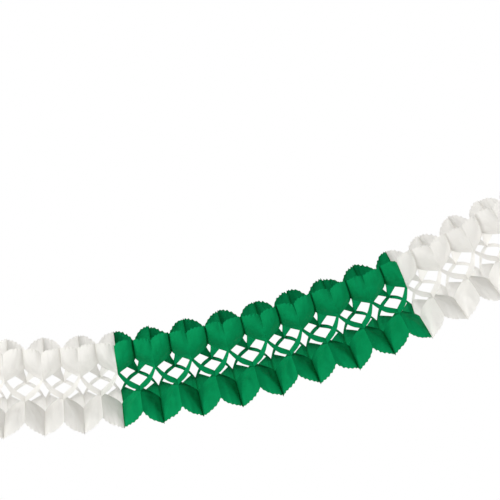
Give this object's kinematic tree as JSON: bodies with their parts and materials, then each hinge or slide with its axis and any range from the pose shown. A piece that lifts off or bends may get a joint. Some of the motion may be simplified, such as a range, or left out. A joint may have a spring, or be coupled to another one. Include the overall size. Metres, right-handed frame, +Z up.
{
  "type": "paper garland",
  "caption": "Hung length of tissue paper garland, folded leaves of white and green glued into tulip petals around an open lattice.",
  "frame": {"origin": "upper right end of the garland's middle line, where the strand is held", "axes": "+X along the garland to the viewer's right, +Z up, +Y away from the viewer"},
  "size_m": [0.9292, 0.1411, 0.3854],
  "materials": {
    "white_tissue": "matt, slightly see-through",
    "green_tissue": "matt, slightly see-through"
  },
  "bodies": {
    "root": {"white_leaf_01": "white_tissue", "white_leaf_02": "white_tissue", "white_leaf_03": "white_tissue", "white_leaf_04": "white_tissue", "white_leaf_05": "white_tissue", "white_leaf_06": "white_tissue", "white_leaf_07": "white_tissue", "white_leaf_08": "white_tissue", "white_leaf_09": "white_tissue", "white_leaf_10": "white_tissue", "white_leaf_11": "white_tissue", "white_leaf_12": "white_tissue", "white_leaf_13": "white_tissue", "white_leaf_14": "white_tissue", "white_leaf_15": "white_tissue", "white_leaf_16": "white_tissue", "green_leaf_01": "green_tissue", "green_leaf_02": "green_tissue", "green_leaf_03": "green_tissue", "green_leaf_04": "green_tissue", "green_leaf_05": "green_tissue", "green_leaf_06": "green_tissue", "green_leaf_07": "green_tissue", "green_leaf_08": "green_tissue", "green_leaf_09": "green_tissue", "green_leaf_10": "green_tissue", "green_leaf_11": "green_tissue", "green_leaf_12": "green_tissue", "green_leaf_13": "green_tissue", "green_leaf_14": "green_tissue", "green_leaf_15": "green_tissue", "green_leaf_16": "green_tissue"}
  },
  "joints": []
}
